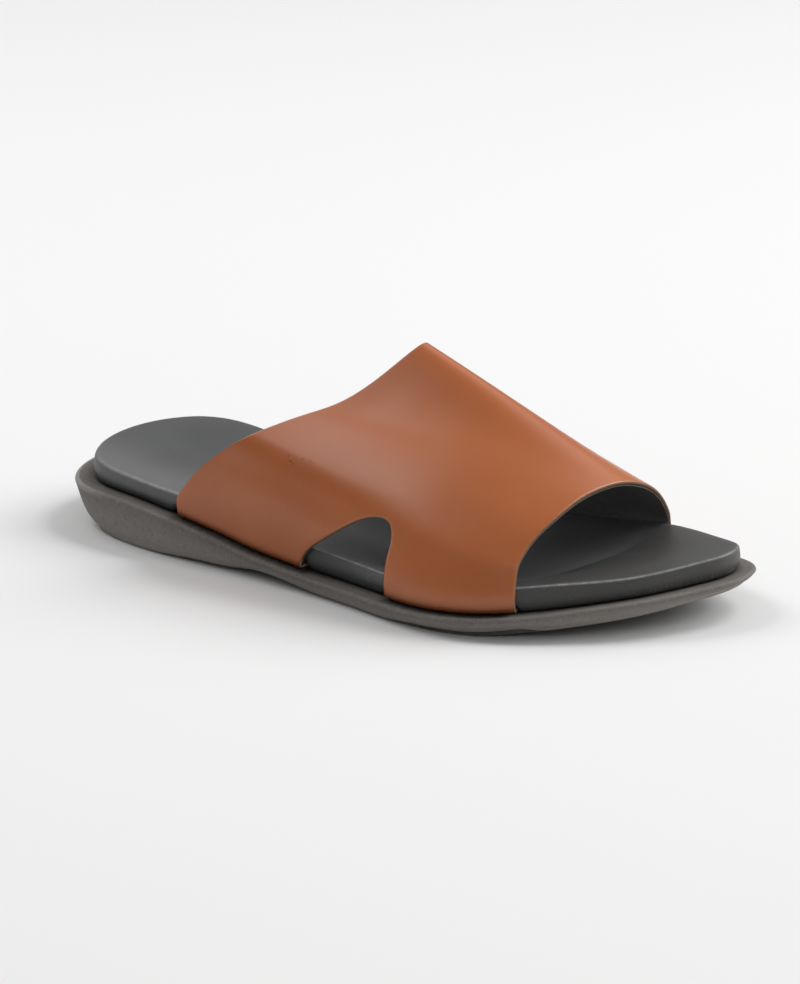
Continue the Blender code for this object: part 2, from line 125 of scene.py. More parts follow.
# Lugs across the underside, from x, to x and pitch of each field.
TREAD_FIELDS = {"heel": (20.0, 80.0, 12.0), "forefoot": (157.0, 246.0, 12.7)}
GROOVE_WIDTH = 2.6
GROOVE_DEPTH = 1.4
GROOVE_MARGIN = 7.0
POCKET_END = 1.2
POCKET_OVERLAP = 0.2
POCKET_SIDE = 0.6
LUG_CORNER = 0.45
LUG_POINTS = 18
LUG_END_GAP = 0.4
# How far the lugs are sunk into the sole, and how much more in front of the ball, over which x.
LUG_SINK = 0.1
LUG_SINK_MORE = 0.6
LUG_SINK_SPAN = (212.0, 236.0)
SOLE_SHARP_ANGLE = 50.0
LUG_SHARP_ANGLE = 35.0

# Footbed
FOOTBED_INSET = 6.3
HEEL_LEDGE = 1.9
HEEL_LEDGE_LENGTH = 34.0
FOOTBED_EDGE_ROUND = (
    (0.0, 2.2), (62.0, 1.8), (110.0, 1.1), (140.0, 0.8), (190.0, 0.8), (228.0, 1.1), (290.0, 1.3),
)
FOOTBED_ARC_STEPS = 6
# How strongly a painted highlight lightens the bed's rounded edge: down the round, then as a factor over x.
EDGE_PAINTED_HIGHLIGHT = (0.08, 0.3, 0.5, 0.42, 0.16, 0.0, 0.0)
HIGHLIGHT_ALONG = ((0.0, 0.6), (80.0, 0.8), (150.0, 1.5), (190.0, 1.3), (245.0, 1.5), (290.0, 0.8))
FOOTBED_FOOT_ROUND = 0.8
FOOTBED_WALL_STEPS = 7
# How dark painted shade makes the wall from the edge down, and how much less of it there is at the toe,
# over which x.
WALL_SHADE = (0.04, 0.08, 0.08, 0.14, 0.3, 0.52, 0.78, 0.95, 1.0, 1.0, 1.0, 1.0)
TOE_SHADE_LESS = 0.7
TOE_SHADE_SPAN = (205.0, 245.0)
FOOTBED_BULGE = 0.35
FOOTBED_INSETS = (11.0, 9.0, 7.2, 5.6, 4.4, 3.4)
FOOTBED_LEVELS = 34
FOOTBED_UNDER_LEVELS = 3
# How much higher the bed's edge is 40 mm to the inner side of the middle, over x.
BED_TILT = ((0.0, 0.9), (45.0, 1.2), (110.0, 1.0), (190.0, 0.6), (245.0, 0.2), (290.0, 0.0))
BED_TILT_WIDTH = 40.0
# How far the bed's outer side stands back where the band leans in, and over which x.
BED_TUCK = 0.7
BED_TUCK_SPAN = (126.0, 146.0, 226.0, 236.0)
BASIN_BORDER = 30.0
BASIN_DEPTH = ((0.0, 4.2), (45.0, 4.4), (110.0, 3.0), (160.0, 3.4), (215.0, 4.2), (290.0, 4.2))
# Crease in front of the ball: its x over y as three factors, then the lip's length, softness and ease.
LIP_CREASE = (233.2, 0.17, -0.0022)
LIP_LENGTH = 34.0
LIP_SOFTNESS = 0.7
LIP_EASE = 1.6
CREASE_WIDTH = (1.5, 0.1)
CREASE_FADE = (22.0, -5.0)
# Where painted light lightens the bed's basin before the toes and a painted sheen lightens its heel, over x
# or y, and where dirt lies on the toe's wall.
BASIN_LIGHT_SPAN = (135.0, 175.0)
BASIN_LIGHT_END = (1.5, -5.0)
HEEL_SHEEN_SPAN = (100.0, 72.0)
HEEL_SHEEN_SIDE = (2.0, -34.0)
TOE_DIRT_SPAN = (256.0, 270.0)

# Leather band: tan leather over a dark lining, with a margin turned in under the footbed.
BAND_WALL_THICKNESS = 2.2
LEATHER = 1.55
LINING_GAP = 0.02
MARGIN_WIDTH = 7.5
MARGIN_BEND = 3.0
REBATE_HEIGHT = BAND_WALL_THICKNESS + 2.0 * GAP
REBATE_WIDTH = MARGIN_WIDTH + 1.0
REBATE_END_WIDTH = 3.0
# Over which x the bed leaves room for the margin, and over which x the notch takes that back.
REBATE_SPAN = {"outer": (65.0, 70.5, 231.8, 234.8), "inner": (70.0, 77.0, 236.0, 240.0)}
NOTCH_FOOT = {"outer": (133.5, 138.0, 174.5, 178.5), "inner": (139.0, 143.0, 172.0, 176.0)}
SHADOW_GAP = 0.2
# Where the band's two ends leave the sole: rear x and front x, on the outer and inner side.
BAND_FOOT = {"outer": (71.0, 233.7), "inner": (78.0, 236.0)}
# The runs of the band over the foot, from the outer wall over the crest to the inner wall: the sole's side,
# x, y, z at the rear edge and at the front edge, the share of the sole's sideways bulge, then how far the
# middle of the run lies to the inner side and up.
BAND_RUNS = (
    ("outer", (74.6, -46.9, 29.2), (233.6, -49.3, 24.0), 0.85, 1.0, -0.8),
    ("outer", (83.0, -48.0, 38.3), (233.6, -48.7, 26.2), 0.83, 1.4, -1.4),
    ("outer", (93.2, -48.3, 46.7), (233.6, -47.9, 28.4), 0.8, 1.6, -2.0),
    ("outer", (104.4, -47.8, 54.7), (233.9, -45.5, 31.5), 0.74, 1.6, -2.5),
    ("outer", (111.3, -43.6, 58.7), (235.0, -41.4, 35.9), 0.6, 1.0, -2.0),
    ("outer", (122.1, -32.0, 63.6), (237.8, -31.0, 42.7), 0.4, 0.3, -0.2),
    ("outer", (131.0, -20.3, 67.4), (240.1, -18.5, 47.6), 0.18, 0.0, 0.8),
    ("outer", (141.9, -5.5, 77.7), (242.0, -4.5, 49.5), 0.05, 0.0, 0.4),
    ("outer", (149.4, 8.5, 87.0), (242.5, 8.5, 48.3), 0.0, 0.0, 0.8),
    ("inner", (140.5, 22.5, 78.6), (242.6, 22.0, 44.2), 0.0, 0.0, 0.5),
    ("inner", (122.5, 33.4, 67.5), (241.0, 35.8, 35.8), 0.3, 0.0, 0.0),
    ("inner", (97.0, 37.4, 47.6), (238.2, 45.6, 26.4), 0.7, 0.0, 0.0),
    ("inner", (84.5, 33.7, 26.8), (236.4, 49.2, 22.0), 1.0, 0.0, 0.0),
)
# Swells and troughs of the runs from the outer wall to the crest, fitted to the photograph's shading: how far
# each run stands out along RELIEF_WAY, at each share of the way from the rear edge to the front edge.
RELIEF_WAY = (0.568, -0.765, 0.302)
RELIEF_SHARES = (0.0, 0.1, 0.2, 0.32, 0.44, 0.58, 0.72, 0.86, 1.0)
RELIEF = (
    (-0.02, 1.14, 2.15, 2.72, 2.51, 1.55, 0.59, -0.19, -0.82),
    (-1.42, -0.18, 0.96, 1.45, 1.21, 0.65, -0.01, -0.61, -1.08),
    (-2.76, -1.63, -0.57, 0.03, 0.12, -0.15, -0.67, -1.07, -1.39),
    (-3.89, -2.89, -1.82, -0.87, -0.51, -0.81, -1.3, -1.59, -1.83),
    (-4.43, -3.38, -2.32, -1.36, -0.85, -1.06, -1.68, -2.05, -2.39),
    (-3.35, -2.68, -1.93, -1.24, -0.96, -0.93, -1.37, -2.18, -3.12),
    (-2.01, -1.97, -1.5, -0.85, -0.22, 0.04, -0.57, -2.03, -3.81),
    (-2.46, -1.79, -1.03, -0.31, 0.3, 0.55, 0.14, -1.08, -2.87),
    (-3.02, -2.22, -1.6, -1.18, -0.86, -0.51, -0.24, -0.31, -0.86),
)
MARGIN_PULL = 0.4
BEND_STEPS = 4
# Steps of the leather's and the lining's grid, along and across the band.
BAND_STEPS = (124, 196)
LINING_STEPS = (84, 130)
# Painted shade darkens the flaps towards the sole, between these heights over the deck.
FOOT_PAINTED_SHADE = (0.6, 5.8)
# A few open pores on the outer side of the rear strap: the spans of x, y and z.
PORE_SPAN_X = (122.0, 126.0, 132.0, 137.0)
PORE_SPAN_Y = (-40.0, -44.0)
PORE_SPAN_Z = (47.0, 49.5, 51.5, 54.0)
EDGE_ROWS = (0.0, 0.0025, 0.006)
EDGE_ROLL = 0.16
EDGE_BULGE = 0.3
EDGE_STEPS = 4
BAND_SHARP_ANGLE = 60.0

# Notch in each side of the band, seen from the side: x and z round the opening.
NOTCHES = {
    "outer": ((132.0, 4.0), (133.4, 11.0), (136.9, 16.6), (144.4, 22.6), (150.1, 26.5), (158.4, 31.9),
              (165.5, 35.5), (173.0, 37.2), (178.0, 35.9), (180.2, 31.0), (179.4, 24.0), (178.9, 16.0),
              (179.3, 4.0)),
    "inner": ((136.0, 6.0), (139.5, 15.0), (145.5, 25.0), (153.0, 33.6), (162.0, 38.6),
              (168.2, 35.8), (171.0, 27.5), (175.0, 15.0), (179.5, 5.0)),
}
NOTCH_STEPS = 12
NOTCH_DROP = 12.0

# Camera and stage
PICTURE = (800, 984)
CAMERA_AZIMUTH = 36.6015
CAMERA_ELEVATION = 17.5491
CAMERA_ROLL = -0.449
CAMERA_DISTANCE = 2.375
CAMERA_AIM = Vector((0.004, 0.0, 0.0305))
PIXELS_PER_METRE = 2610.0
SENSOR = 36.0
FLOOR_RADIUS = 9.0
# The room's own light, and how much more comes from high up behind the shoe.
ROOM_LIGHT = 0.282
ROOM_LIGHT_BEHIND = 0.844
BEHIND_SPAN = (0.26, 0.71)
BEHIND_HEIGHT_SPAN = (0.35, 0.6)
# Softboxes: place, aim and size in metres, and power in watts.
SOFTBOXES = {
    "left_softbox": ((-1.19, -0.11, 1.38), (0.0, 0.0, 0.05), (1.16, 1.07), 13.4),
    "front_softbox": ((0.81, -0.97, 1.0), (0.05, 0.0, 0.03), (0.7, 0.7), 1.9),
    "top_softbox": ((0.8, 1.1, 1.95), (0.0, 0.0, 0.03), (0.8, 0.8), 17.0),
    "back_softbox": ((1.7, 1.96, 1.5), (0.0, 0.0, 0.03), (2.4, 1.5), 60.0),
}


def smoothstep(low, high, value):
    t = np.clip((np.asarray(value, float) - low) / (high - low), 0.0, 1.0)
    return t * t * (3.0 - 2.0 * t)


def steady_curve(table_x, table_z, x):
    """A smooth curve through the table that never overshoots a row, so level stretches stay level."""
    table_x = np.asarray(table_x, float)
    table_z = np.asarray(table_z, float)
    x = np.clip(np.asarray(x, float), table_x[0], table_x[-1])
    step = np.diff(table_x)
    rise = np.diff(table_z) / step
    same_way = rise[:-1] * rise[1:] > 0
    total = np.where(same_way, rise[:-1] + rise[1:], 1.0)
    slope = np.zeros_like(table_z)
    slope[1:-1] = np.where(same_way, 2.0 * rise[:-1] * rise[1:] / total, 0.0)
    slope[0] = rise[0]
    slope[-1] = rise[-1]
    i = np.clip(np.searchsorted(table_x, x, side="right") - 1, 0, len(step) - 1)
    h = step[i]
    t = (x - table_x[i]) / h
    return (
        (1 + 2 * t) * (1 - t) ** 2 * table_z[i]
        + t * (1 - t) ** 2 * h * slope[i]
        + t * t * (3 - 2 * t) * table_z[i + 1]
        + t * t * (t - 1) * h * slope[i + 1]
    )


def smooth_spline(knots, rows, at):
    """The curve of steady bend through the rows, each of one or more points, read at each place in at."""
    count = len(knots)
    step = np.diff(knots)
    system = np.eye(count)
    bend = np.zeros_like(rows)
    for i in range(1, count - 1):
        system[i, i - 1 : i + 2] = step[i - 1], 2.0 * (step[i - 1] + step[i]), step[i]
        bend[i] = 6.0 * ((rows[i + 1] - rows[i]) / step[i] - (rows[i] - rows[i - 1]) / step[i - 1])
    second = np.linalg.solve(system, bend.reshape(count, -1)).reshape(rows.shape)
    i = np.clip(np.searchsorted(knots, at, side="right") - 1, 0, count - 2)
    shape = (-1,) + (1,) * (rows.ndim - 1)
    h = step[i].reshape(shape)
    b = (np.asarray(at) - knots[i]).reshape(shape) / h
    a = 1.0 - b
    curve = (a**3 - a) * second[i] + (b**3 - b) * second[i + 1]
    return a * rows[i] + b * rows[i + 1] + curve * h * h / 6.0


def chord_knots(points):
    return np.concatenate([[0.0], np.cumsum(np.linalg.norm(np.diff(points, axis=0), axis=1))])


def evenly_spaced(path, count):
    lengths = chord_knots(path)
    at = np.linspace(0.0, lengths[-1], count + 1)
    return np.column_stack([np.interp(at, lengths, path[:, k]) for k in range(path.shape[1])])


def rim_outline():
    """The rim's points once round, from the heel's tip along the outer side to the toe and back."""
    outer = [(x, y) for x, y, _ in RIM_STATIONS]
    inner = [(x, y) for x, _, y in RIM_STATIONS]
    once = [HEEL_TIP, *outer, TOE_TIP, *inner[::-1]]
    lead = len(outer)
    loop = np.array([*once[-lead:], *once, *once[: lead + 1]])
    knots = chord_knots(loop)
    halves = []
    for first in (lead, 2 * lead + 1):
        at = np.linspace(knots[first], knots[first + lead + 1], lead * OUTLINE_STEPS)
        halves.append(evenly_spaced(smooth_spline(knots, loop, at), SIDE_SEGMENTS))
    return np.vstack([halves[0][:-1], halves[1][:-1]])


def outward_normals(loop):
    along = np.roll(loop, -1, axis=0) - np.roll(loop, 1, axis=0)
    across = np.column_stack([along[:, 1], -along[:, 0]])
    across /= np.linalg.norm(across, axis=1)[:, None]
    outward = np.sum(across * (loop - loop.mean(axis=0)))
    return across * np.sign(outward)


OUTLINE = rim_outline()
NORMAL = outward_normals(OUTLINE)
COUNT = len(OUTLINE)
CENTRE_X = 0.5 * (HEEL_TIP[0] + TOE_TIP[0])
CENTRE_Y = 0.5 * (OUTLINE[:, 1].min() + OUTLINE[:, 1].max())


def to_model(points):
    return (np.asarray(points) - (CENTRE_X, CENTRE_Y, 0.0)) * MM


def column(names, table, name, x):
    columns = dict(zip(names, np.transpose(table)))
    return steady_curve(columns["x"], columns[name], x)


def underside_z(x):
    return column(SOLE_COLUMNS, SOLE_PROFILE, "underside_z", x)


def deck_z(x):
    return column(SOLE_COLUMNS, SOLE_PROFILE, "deck_z", x)


def footbed_edge_z(x, y):
    tilt = steady_curve(*np.transpose(BED_TILT), x)
    return column(SOLE_COLUMNS, SOLE_PROFILE, "footbed_edge_z", x) + tilt * y / BED_TILT_WIDTH


def edge_round(x):
    return steady_curve(*np.transpose(FOOTBED_EDGE_ROUND), x)


def wall_taper(x):
    return column(SOLE_COLUMNS, SOLE_PROFILE, "taper", x)


def ring(inset, height_at):
    """The outline moved in by inset, with the height that height_at gives there."""
    flat = OUTLINE - NORMAL * np.reshape(inset, (-1, 1))
    return np.column_stack([flat, height_at(flat[:, 0], flat[:, 1])])


def side_y(x, inset, side):
    """y of the outline moved in by inset, at station x on the outer or the inner side."""
    flat = OUTLINE - NORMAL * inset
    half = flat[: SIDE_SEGMENTS + 1]
    if side == "inner":
        half = np.vstack([flat[SIDE_SEGMENTS:], flat[:1]])[::-1]
    return np.interp(x, half[:, 0], half[:, 1])


def new_piece(name, points, faces, materials, face_materials=None):
    """A smooth-shaded mesh object at the origin, with its place in its points."""
    mesh = bpy.data.meshes.new(name)
    mesh.from_pydata(to_model(points).tolist(), [], faces)
    for made in materials:
        mesh.materials.append(made)
    if face_materials is not None:
        mesh.polygons.foreach_set("material_index", np.asarray(face_materials, np.int32))
    bm = bmesh.new()
    bm.from_mesh(mesh)
    bmesh.ops.recalc_face_normals(bm, faces=bm.faces)
    bm.to_mesh(mesh)
    bm.free()
    mesh.shade_smooth()
    obj = bpy.data.objects.new(name, mesh)
    bpy.context.scene.collection.objects.link(obj)
    return obj


def spine_of(loop):
    """The points half-way between the two sides; each tip takes its neighbour's."""
    partner = (COUNT - np.arange(COUNT)) % COUNT
    spine = 0.5 * (loop + loop[partner])
    spine[0] = spine[1]
    spine[SIDE_SEGMENTS] = spine[SIDE_SEGMENTS - 1]
    return spine


def stacked_mesh(loops, top_levels, top_z, under_levels, under_z):
    """Points and faces of a closed form through loops, from the top's inner one to the underside's.

    Both faces are closed towards the spine, in even levels, with heights from top_z and under_z.
    """

    def face_levels(loop, levels, height_at):
        spine = spine_of(loop)
        made = []
        for part in np.arange(1, levels) / levels:
            flat = loop + part * (spine - loop)
            made.append(np.column_stack([flat[:, :2], height_at(flat[:, 0], flat[:, 1])]))
        return made, np.column_stack([spine[:, :2], height_at(spine[:, 0], spine[:, 1])])

    over, top_spine = face_levels(loops[0], top_levels, top_z)
    below, under_spine = face_levels(loops[-1], under_levels, under_z)
    rows = [*over[::-1], *loops, *below]
    points = np.vstack(rows)
    faces = []
    for row in range(len(rows) - 1):
        upper = row * COUNT
        lower = upper + COUNT
        for i in range(COUNT):
            j = (i + 1) % COUNT
            faces.append((upper + i, upper + j, lower + j, lower + i))
    for row, spine in ((0, top_spine), ((len(rows) - 1) * COUNT, under_spine)):
        start = len(points)
        points = np.vstack([points, spine[1:SIDE_SEGMENTS]])
        last = SIDE_SEGMENTS - 2
        for i in range(last):
            outer = row + 1 + i
            inner = row + COUNT - 1 - i
            faces.append((outer, outer + 1, start + i + 1, start + i))
            faces.append((inner, inner - 1, start + i + 1, start + i))
        toe = row + SIDE_SEGMENTS
        faces.append((row, row + 1, start))
        faces.append((row + COUNT - 1, row, start))
        faces.append((toe - 1, toe, start + last))
        faces.append((toe, toe + 1, start + last))
    return points, faces


def row_attribute(piece, name, levels, rows):
    """Stores a value for each point of a stacked mesh, from its loops' values; other points get 0."""
    values = np.zeros(len(piece.data.vertices))
    start = (levels - 1) * COUNT
    values[start : start + len(rows) * COUNT] = np.concatenate(rows)
    piece.data.attributes.new(name, "FLOAT", "POINT").data.foreach_set("value", values)


def reach(x, span):
    """1 along the stretch between the span's middle values, 0 outside the span."""
    start, whole, taper_off, end = span
    return smoothstep(start, whole, x) * (1.0 - smoothstep(taper_off, end, x))


def under_band(x, y):
    """1 where the band's margin lies under the footbed, 0 in the notches and past the band's ends."""
    outer, inner = (
        reach(x, REBATE_SPAN[side]) * (1.0 - reach(x, NOTCH_FOOT[side])) for side in ("outer", "inner")
    )
    return np.where(y < 0.0, outer, inner)


def distance_to(outline, spots):
    """How far each flat spot lies from the line of a closed outline."""
    start = outline[None, :, :]
    along = np.roll(outline, -1, axis=0)[None, :, :] - start
    away = spots[:, None, :] - start
    share = np.clip(np.sum(away * along, axis=2) / np.sum(along * along, axis=2), 0.0, 1.0)
    return np.linalg.norm(away - share[:, :, None] * along, axis=2).min(axis=1)


def edge_distance(x, y):
    """How far each point lies from the rim's outline."""
    return distance_to(OUTLINE[::COARSE_STEP], np.column_stack([x, y]))


class Value:
    """A shader socket that takes part in Python arithmetic: each operation adds a Math node."""

    def __init__(self, shader, socket):
        self.shader = shader
        self.socket = socket

    def math(self, operation, first, second):
        return self.shader.node("ShaderNodeMath", {"operation": operation}, {0: first, 1: second})

    def __add__(self, other):
        return self.math("ADD", self, other)

    def __radd__(self, other):
        return self.math("ADD", other, self)

    def __sub__(self, other):
        return self.math("SUBTRACT", self, other)

    def __rsub__(self, other):
        return self.math("SUBTRACT", other, self)

    def __mul__(self, other):
        return self.math("MULTIPLY", self, other)

    def __rmul__(self, other):
        return self.math("MULTIPLY", other, self)


class Shader:
    """Builds one node tree: a material's or the world's."""

    def __init__(self, tree):
        self.tree = tree

    def node(self, kind, settings=None, inputs=None, output=0):
        """Adds a node with its settings, then its sockets' values or links, and gives one of its outputs."""
        made = self.tree.nodes.new(kind)
        for name, value in (settings or {}).items():
            setattr(made, name, value)
        for key, value in (inputs or {}).items():
            self.feed(made.inputs[key], value)
        return Value(self, made.outputs[output])

    def feed(self, socket, value):
        if isinstance(value, Value):
            self.tree.links.new(value.socket, socket)
        else:
            socket.default_value = value

    def place(self):
        return self.node("ShaderNodeTexCoord", output="Object")

    def stretched(self, scale):
        return self.node("ShaderNodeMapping", None, {"Vector": self.place(), "Scale": scale})

    def noise(self, scale, detail=2.0, roughness=0.5, vector=None):
        sockets = {"Vector": vector or self.place(), "Scale": scale, "Detail": detail, "Roughness": roughness}
        return self.node("ShaderNodeTexNoise", {"noise_dimensions": "3D"}, sockets)

    def cells(self, scale):
        return self.node("ShaderNodeTexVoronoi", {"feature": "F1"}, {"Vector": self.place(), "Scale": scale})

    def ease(self, value, low, high, start=0.0, end=1.0):
        """value taken from low..high to start..end with soft ends."""
        sockets = {"Value": value, "From Min": low, "From Max": high, "To Min": start, "To Max": end}
        return self.node("ShaderNodeMapRange", {"interpolation_type": "SMOOTHSTEP"}, sockets)

    def mix(self, share, first, second):
        """A colour between two others."""
        return self.node(
            "ShaderNodeMix", {"data_type": "RGBA"}, {0: share, 6: first, 7: second}, output=2
        )

    def bump(self, height, strength, distance, over=None):
        sockets = {"Height": height, "Strength": strength, "Distance": distance}
        if over:
            sockets["Normal"] = over
        return self.node("ShaderNodeBump", None, sockets)

    def attribute(self, name):
        return self.node("ShaderNodeAttribute", {"attribute_name": name}, output="Fac")

    def sizes(self):
        """x, y and z of the shading point in the tables' millimetres."""
        x, y, z = self.parts(self.place(), "XYZ")
        return x * (1.0 / MM) + CENTRE_X, y * (1.0 / MM) + CENTRE_Y, z * (1.0 / MM)

    def parts(self, vector, axes):
        """The named parts of a vector, as values."""
        return [self.node("ShaderNodeSeparateXYZ", None, {"Vector": vector}, output=axis) for axis in axes]

    def within(self, value, span):
        """1 along the stretch between the span's middle values, 0 outside the span."""
        start, whole, taper_off, end = span
        return self.ease(value, start, whole) * self.ease(value, end, taper_off)


def new_material(name):
    made = bpy.data.materials.new(name)
    made.use_nodes = True
    shader = Shader(made.node_tree)
    return made, shader, made.node_tree.nodes["Principled BSDF"]


def dress(shader, bsdf, sockets):
    for name, value in sockets.items():
        shader.feed(bsdf.inputs[name], value)


def band_leather():
    """Smooth burnished tan leather with a very fine grain, painted shade at the flaps' feet, and a few open
    pores.
    """
    made, shader, bsdf = new_material("band_leather")
    cloud = shader.ease(shader.noise(22.0, 3.0, 0.55), 0.35, 0.68)
    fleck = shader.noise(260.0, 4.0, 0.6)
    tone = shader.mix(cloud, (0.382, 0.105, 0.029, 1.0), (0.408, 0.116, 0.033, 1.0))
    tone = shader.mix(0.16 * fleck, tone, (0.31, 0.078, 0.018, 1.0))
    # Painted shade: the leather darkens towards the sole at the flaps' feet.
    tone = shader.mix(0.8 * shader.attribute("foot"), tone, (0.085, 0.024, 0.008, 1.0))
    x, y, z = shader.sizes()
    patch = shader.within(x, PORE_SPAN_X) * shader.ease(y, *PORE_SPAN_Y) * shader.within(z, PORE_SPAN_Z)
    pit = shader.ease(shader.cells(420.0), 0.28, 0.12) * patch
    tone = shader.mix(0.8 * pit, tone, (0.10, 0.03, 0.012, 1.0))
    grain = shader.cells(1500.0)
    pores = shader.noise(900.0, 2.0, 0.5)
    height = 0.6 * grain + 0.4 * pores
    dress(shader, bsdf, {
        "Base Color": tone,
        "Roughness": 0.27 + 0.04 * fleck,
        "Normal": shader.bump(height, 0.05, 0.0003),
    })
    return made


def cut_edge():
    """The band's cut edge: dyed fibre, darker and duller than the face, raw and pale at the flaps' feet."""
    made, shader, bsdf = new_material("cut_edge")
    fibre = shader.noise(2400.0, 3.0, 0.65)
    tone = shader.mix(shader.ease(fibre, 0.3, 0.7), (0.13, 0.062, 0.03, 1.0), (0.21, 0.11, 0.055, 1.0))
    tone = shader.mix(shader.attribute("foot"), tone, (0.46, 0.34, 0.26, 1.0))
    dress(shader, bsdf, {
        "Base Color": tone,
        "Roughness": 0.62,
        "Normal": shader.bump(fibre, 0.25, 0.0003),
    })
    return made


def flesh_side():
    """The rougher back of the leather and of the lining, where they lie against each other."""
    made, shader, bsdf = new_material("flesh_side")
    nap = shader.noise(1300.0, 4.0, 0.7)
    tone = shader.mix(shader.ease(nap, 0.3, 0.7), (0.10, 0.04, 0.02, 1.0), (0.16, 0.07, 0.035, 1.0))
    dress(shader, bsdf, {"Base Color": tone, "Roughness": 0.85, "Normal": shader.bump(nap, 0.3, 0.0004)})
    return made


def lining_face():
    """Smooth grey lining, which looks dark in the shade of the band."""
    made, shader, bsdf = new_material("lining_face")
    weave = shader.noise(1100.0, 3.0, 0.6)
    tone = shader.mix(shader.ease(weave, 0.3, 0.7), (0.14, 0.144, 0.14, 1.0), (0.18, 0.184, 0.176, 1.0))
    dress(shader, bsdf, {
        "Base Color": tone,
        "Roughness": 0.58,
        "Normal": shader.bump(weave, 0.10, 0.0003),
    })
    return made


def lining_edge():
    """The lining's cut edge, a thin dull brown line beside the leather's."""
    made, shader, bsdf = new_material("lining_edge")
    fibre = shader.noise(2600.0, 3.0, 0.65)
    tone = shader.mix(fibre, (0.07, 0.06, 0.04, 1.0), (0.12, 0.10, 0.065, 1.0))
    dress(shader, bsdf, {"Base Color": tone, "Roughness": 0.75})
    return made


def footbed_wrap():
    """Matte charcoal wrap with a fine pebble, lint, and dirt on the toe's wall, with painted light in the
    basin before the toes, a painted sheen at the heel, a painted highlight along its edge, and painted shade
    down its side and in the crease behind the toe's lip.
    """
    made, shader, bsdf = new_material("footbed_wrap")
    side = shader.attribute("side")
    cloud = shader.ease(shader.noise(30.0, 3.0, 0.6), 0.3, 0.7)
    pebble = shader.cells(1700.0)
    fine = shader.noise(2600.0, 2.0, 0.6)
    scuff = shader.ease(shader.noise(70.0, 5.0, 0.65, shader.stretched((0.35, 0.35, 1.6))), 0.54, 0.72)
    lint = shader.ease(shader.noise(900.0, 1.0, 0.5), 0.74, 0.79)
    x, y, _ = shader.sizes()
    middle, slant, bow = LIP_CREASE
    past = x - (middle + slant * y + bow * y * y)
    off = shader.node("ShaderNodeMath", {"operation": "ABSOLUTE"}, {0: past})
    crease = shader.ease(off, *CREASE_WIDTH) * shader.ease(y, *CREASE_FADE) * (1.0 - side)
    # Painted light in the basin before the toes and a painted sheen on the heel's outer side lighten the bed.
    basin_painted_light = shader.ease(x, *BASIN_LIGHT_SPAN) * shader.ease(past, *BASIN_LIGHT_END)
    heel_painted_sheen = shader.ease(x, *HEEL_SHEEN_SPAN) * shader.ease(y, *HEEL_SHEEN_SIDE)
    tone = shader.mix(cloud, (0.048, 0.049, 0.050, 1.0), (0.056, 0.057, 0.058, 1.0))
    bed_painted_light = (0.75 * basin_painted_light + 0.8 * heel_painted_sheen) * (1.0 - side)
    tone = shader.mix(bed_painted_light, tone, (0.115, 0.116, 0.117, 1.0))
    tone = shader.mix(0.7 * shader.ease(past, 0.0, 6.0), tone, (0.050, 0.047, 0.044, 1.0))
    # Painted shade: the wall darkens from its edge down to its foot.
    tone = shader.mix(side, tone, (0.014, 0.0145, 0.0155, 1.0))
    # Painted shade along the crease behind the toe's lip.
    tone = shader.mix(0.75 * crease, tone, (0.012, 0.012, 0.012, 1.0))
    tone = shader.mix(0.10 * scuff, tone, (0.20, 0.20, 0.20, 1.0))
    toe_dirt = shader.ease(x, *TOE_DIRT_SPAN) * shader.ease(side, 0.12, 0.5)
    crumb = shader.noise(480.0, 3.0, 0.65)
    tone = shader.mix(0.6 * toe_dirt * shader.ease(crumb, 0.53, 0.61), tone, (0.15, 0.14, 0.125, 1.0))
    tone = shader.mix(0.7 * toe_dirt * shader.ease(crumb, 0.47, 0.40), tone, (0.004, 0.004, 0.004, 1.0))
    tone = shader.mix(0.25 * lint, tone, (0.30, 0.30, 0.30, 1.0))
    # Painted highlight along the bed's rounded edge, broken up by noise.
    edge_highlight = shader.attribute("edge_highlight") * shader.ease(shader.noise(330.0, 4.0, 0.65), 0.3, 0.65, 0.55, 1.2)
    tone = shader.mix(edge_highlight, tone, (0.30, 0.30, 0.30, 1.0))
    folded = shader.bump(1.0 - crease, 0.5, 0.0006)
    dress(shader, bsdf, {
        "Base Color": tone,
        "Roughness": 0.46 + 0.08 * cloud,
        "Normal": shader.bump(0.7 * pebble + 0.3 * fine, 0.12, 0.0003, folded),
    })
    return made


